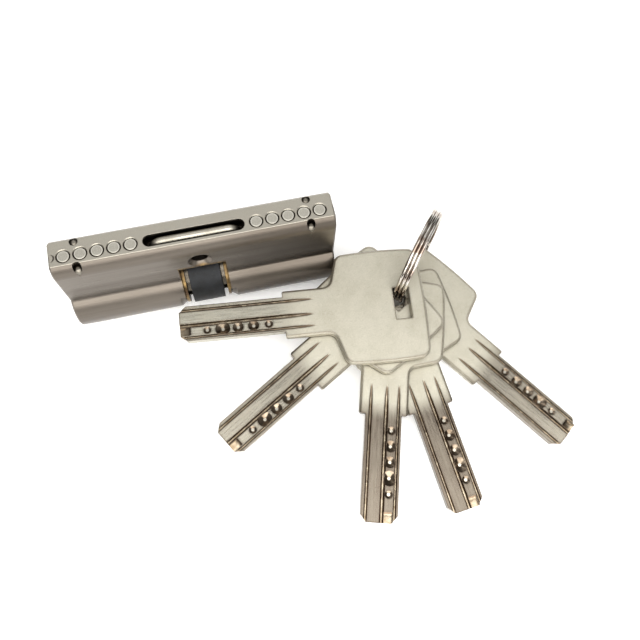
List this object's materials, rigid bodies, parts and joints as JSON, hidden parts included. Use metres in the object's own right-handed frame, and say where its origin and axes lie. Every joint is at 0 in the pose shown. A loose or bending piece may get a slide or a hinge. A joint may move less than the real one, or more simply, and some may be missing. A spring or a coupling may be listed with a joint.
{
  "type": "double euro profile cylinder with dimple keys",
  "caption": "Double euro profile lock cylinder in satin nickel with turning plugs, cam and pin stacks, and its flat dimple keys fanned on an upright split ring.",
  "frame": {"origin": "centre of the threaded hole for the fixing screw", "axes": "+X along the cylinder to the rear half, +Y along the fixing hole to the side where the cam lever leans, +Z from the plug axis to the pin chambers"},
  "size_m": [0.1239, 0.0867, 0.0324],
  "materials": {
    "housing_nickel": "satin nickel plate over brass, fine brushing along the length",
    "cap_nickel": "turned and polished plug faces",
    "staple_nickel": "smooth round bar",
    "hard_steel": "ground pin",
    "spring_steel": "bright spring wire",
    "plug_nickel": "satin nickel plate with a turned face",
    "clip_bronze": "unplated bronze strip",
    "cam_steel": "dark sintered steel",
    "clutch_steel": "sintered steel",
    "pin_brass": "turned brass",
    "pin_steel": "hardened steel",
    "key_nickel": "blasted nickel plate, worn to brass in the milled grooves",
    "ring_chrome": "bright plated spring wire"
  },
  "bodies": {
    "housing": {"cylinder_body": "housing_nickel", "drill_guard_pins": "hard_steel", "bridge_staple": "staple_nickel", "front_chamber_caps": "cap_nickel", "front_pin_springs": "spring_steel", "rear_chamber_caps": "cap_nickel", "rear_pin_springs": "spring_steel"},
    "front_plug": {"front_plug": "plug_nickel", "front_retaining_clip": "clip_bronze"},
    "rear_plug": {"rear_plug": "plug_nickel", "rear_retaining_clip": "clip_bronze"},
    "cam": {"cam": "cam_steel", "clutch_spring": "spring_steel"},
    "front_clutch": {"front_clutch": "clutch_steel"},
    "rear_clutch": {"rear_clutch": "clutch_steel"},
    "front_key_pin_1": {"front_key_pin_1": "pin_brass"},
    "front_key_pin_2": {"front_key_pin_2": "pin_brass"},
    "front_key_pin_3": {"front_key_pin_3": "pin_brass"},
    "front_key_pin_4": {"front_key_pin_4": "pin_brass"},
    "front_key_pin_5": {"front_key_pin_5": "pin_brass"},
    "front_driver_pin_1": {"front_driver_pin_1": "pin_steel"},
    "front_driver_pin_2": {"front_driver_pin_2": "pin_steel"},
    "front_driver_pin_3": {"front_driver_pin_3": "pin_steel"},
    "front_driver_pin_4": {"front_driver_pin_4": "pin_steel"},
    "front_driver_pin_5": {"front_driver_pin_5": "pin_steel"},
    "rear_key_pin_1": {"rear_key_pin_1": "pin_brass"},
    "rear_key_pin_2": {"rear_key_pin_2": "pin_brass"},
    "rear_key_pin_3": {"rear_key_pin_3": "pin_brass"},
    "rear_key_pin_4": {"rear_key_pin_4": "pin_brass"},
    "rear_key_pin_5": {"rear_key_pin_5": "pin_brass"},
    "rear_driver_pin_1": {"rear_driver_pin_1": "pin_steel"},
    "rear_driver_pin_2": {"rear_driver_pin_2": "pin_steel"},
    "rear_driver_pin_3": {"rear_driver_pin_3": "pin_steel"},
    "rear_driver_pin_4": {"rear_driver_pin_4": "pin_steel"},
    "rear_driver_pin_5": {"rear_driver_pin_5": "pin_steel"},
    "key_ring": {"split_ring": "ring_chrome"},
    "key_1": {"key_1": "key_nickel"},
    "key_2": {"key_2": "key_nickel"},
    "key_3": {"key_3": "key_nickel"},
    "key_4": {"key_4": "key_nickel"},
    "key_5": {"key_5": "key_nickel"}
  },
  "joints": [
    {"name": "front_plug_turn", "type": "hinge", "parent": "housing", "child": "front_plug", "pos_m": [0, 0, -0.0166], "axis": [1, 0, 0], "continuous": true},
    {"name": "rear_plug_turn", "type": "hinge", "parent": "housing", "child": "rear_plug", "pos_m": [0, 0, -0.0166], "axis": [1, 0, 0], "continuous": true},
    {"name": "cam_turn", "type": "hinge", "parent": "housing", "child": "cam", "pos_m": [0, 0, -0.0166], "axis": [1, 0, 0], "continuous": true},
    {"name": "front_clutch_slide", "type": "slide", "parent": "cam", "child": "front_clutch", "axis": [1, 0, 0], "range_m": [0, 0.0008], "stiffness_N_per_m": 100, "springref_m": -0.003, "deforming": ["clutch_spring"]},
    {"name": "rear_clutch_slide", "type": "slide", "parent": "cam", "child": "rear_clutch", "axis": [-1, 0, 0], "range_m": [0, 0.0005], "stiffness_N_per_m": 100, "springref_m": -0.003, "deforming": ["clutch_spring"]},
    {"name": "front_key_pin_1_slide", "type": "slide", "parent": "front_plug", "child": "front_key_pin_1", "axis": [0, 0, 1], "range_m": [-0.0005, 0]},
    {"name": "front_key_pin_2_slide", "type": "slide", "parent": "front_plug", "child": "front_key_pin_2", "axis": [0, 0, 1], "range_m": [-0.0005, 0]},
    {"name": "front_key_pin_3_slide", "type": "slide", "parent": "front_plug", "child": "front_key_pin_3", "axis": [0, 0, 1], "range_m": [-0.0005, 0]},
    {"name": "front_key_pin_4_slide", "type": "slide", "parent": "front_plug", "child": "front_key_pin_4", "axis": [0, 0, 1], "range_m": [-0.0005, 0]},
    {"name": "front_key_pin_5_slide", "type": "slide", "parent": "front_plug", "child": "front_key_pin_5", "axis": [0, 0, 1], "range_m": [-0.0005, 0]},
    {"name": "front_driver_pin_1_slide", "type": "slide", "parent": "housing", "child": "front_driver_pin_1", "axis": [0, 0, 1], "range_m": [0, 0.0008], "stiffness_N_per_m": 60, "springref_m": -0.003, "deforming": ["front_pin_springs"]},
    {"name": "front_driver_pin_2_slide", "type": "slide", "parent": "housing", "child": "front_driver_pin_2", "axis": [0, 0, 1], "range_m": [0, 0.0008], "stiffness_N_per_m": 60, "springref_m": -0.003, "deforming": ["front_pin_springs"]},
    {"name": "front_driver_pin_3_slide", "type": "slide", "parent": "housing", "child": "front_driver_pin_3", "axis": [0, 0, 1], "range_m": [0, 0.0008], "stiffness_N_per_m": 60, "springref_m": -0.003, "deforming": ["front_pin_springs"]},
    {"name": "front_driver_pin_4_slide", "type": "slide", "parent": "housing", "child": "front_driver_pin_4", "axis": [0, 0, 1], "range_m": [0, 0.0008], "stiffness_N_per_m": 60, "springref_m": -0.003, "deforming": ["front_pin_springs"]},
    {"name": "front_driver_pin_5_slide", "type": "slide", "parent": "housing", "child": "front_driver_pin_5", "axis": [0, 0, 1], "range_m": [0, 0.0008], "stiffness_N_per_m": 60, "springref_m": -0.003, "deforming": ["front_pin_springs"]},
    {"name": "rear_key_pin_1_slide", "type": "slide", "parent": "rear_plug", "child": "rear_key_pin_1", "axis": [0, 0, 1], "range_m": [-0.0005, 0]},
    {"name": "rear_key_pin_2_slide", "type": "slide", "parent": "rear_plug", "child": "rear_key_pin_2", "axis": [0, 0, 1], "range_m": [-0.0005, 0]},
    {"name": "rear_key_pin_3_slide", "type": "slide", "parent": "rear_plug", "child": "rear_key_pin_3", "axis": [0, 0, 1], "range_m": [-0.0005, 0]},
    {"name": "rear_key_pin_4_slide", "type": "slide", "parent": "rear_plug", "child": "rear_key_pin_4", "axis": [0, 0, 1], "range_m": [-0.0005, 0]},
    {"name": "rear_key_pin_5_slide", "type": "slide", "parent": "rear_plug", "child": "rear_key_pin_5", "axis": [0, 0, 1], "range_m": [-0.0005, 0]},
    {"name": "rear_driver_pin_1_slide", "type": "slide", "parent": "housing", "child": "rear_driver_pin_1", "axis": [0, 0, 1], "range_m": [0, 0.0008], "stiffness_N_per_m": 60, "springref_m": -0.003, "deforming": ["rear_pin_springs"]},
    {"name": "rear_driver_pin_2_slide", "type": "slide", "parent": "housing", "child": "rear_driver_pin_2", "axis": [0, 0, 1], "range_m": [0, 0.0008], "stiffness_N_per_m": 60, "springref_m": -0.003, "deforming": ["rear_pin_springs"]},
    {"name": "rear_driver_pin_3_slide", "type": "slide", "parent": "housing", "child": "rear_driver_pin_3", "axis": [0, 0, 1], "range_m": [0, 0.0008], "stiffness_N_per_m": 60, "springref_m": -0.003, "deforming": ["rear_pin_springs"]},
    {"name": "rear_driver_pin_4_slide", "type": "slide", "parent": "housing", "child": "rear_driver_pin_4", "axis": [0, 0, 1], "range_m": [0, 0.0008], "stiffness_N_per_m": 60, "springref_m": -0.003, "deforming": ["rear_pin_springs"]},
    {"name": "rear_driver_pin_5_slide", "type": "slide", "parent": "housing", "child": "rear_driver_pin_5", "axis": [0, 0, 1], "range_m": [0, 0.0008], "stiffness_N_per_m": 60, "springref_m": -0.003, "deforming": ["rear_pin_springs"]},
    {"name": "key_bunch_slide", "type": "slide", "parent": "housing", "child": "key_ring", "axis": [0, -1, 0], "range_m": [0, 0.06]},
    {"name": "key_1_swing", "type": "hinge", "parent": "key_ring", "child": "key_1", "pos_m": [0.0492, -0.0203, -0.0115], "axis": [-0.0121, -0.0687, 0.9976], "range_deg": [0, 97]},
    {"name": "key_2_swing", "type": "hinge", "parent": "key_ring", "child": "key_2", "pos_m": [0.04934, -0.02014, -0.01385], "axis": [-0.0121, -0.0687, 0.9976], "range_deg": [-3, 110]},
    {"name": "key_3_swing", "type": "hinge", "parent": "key_ring", "child": "key_3", "pos_m": [0.04975, -0.01963, -0.0162], "axis": [-0.0121, -0.0687, 0.9976], "range_deg": [-30, 80]},
    {"name": "key_4_swing", "type": "hinge", "parent": "key_ring", "child": "key_4", "pos_m": [0.05051, -0.01871, -0.01855], "axis": [-0.0121, -0.0687, 0.9976], "range_deg": [-45, 110]},
    {"name": "key_5_swing", "type": "hinge", "parent": "key_ring", "child": "key_5", "pos_m": [0.05173, -0.01723, -0.0209], "axis": [-0.0121, -0.0687, 0.9976], "range_deg": [-5, 30]}
  ],
  "couplings": [
    {"joint": "cam_turn", "follows": "front_plug_turn", "ratio": 1}
  ]
}
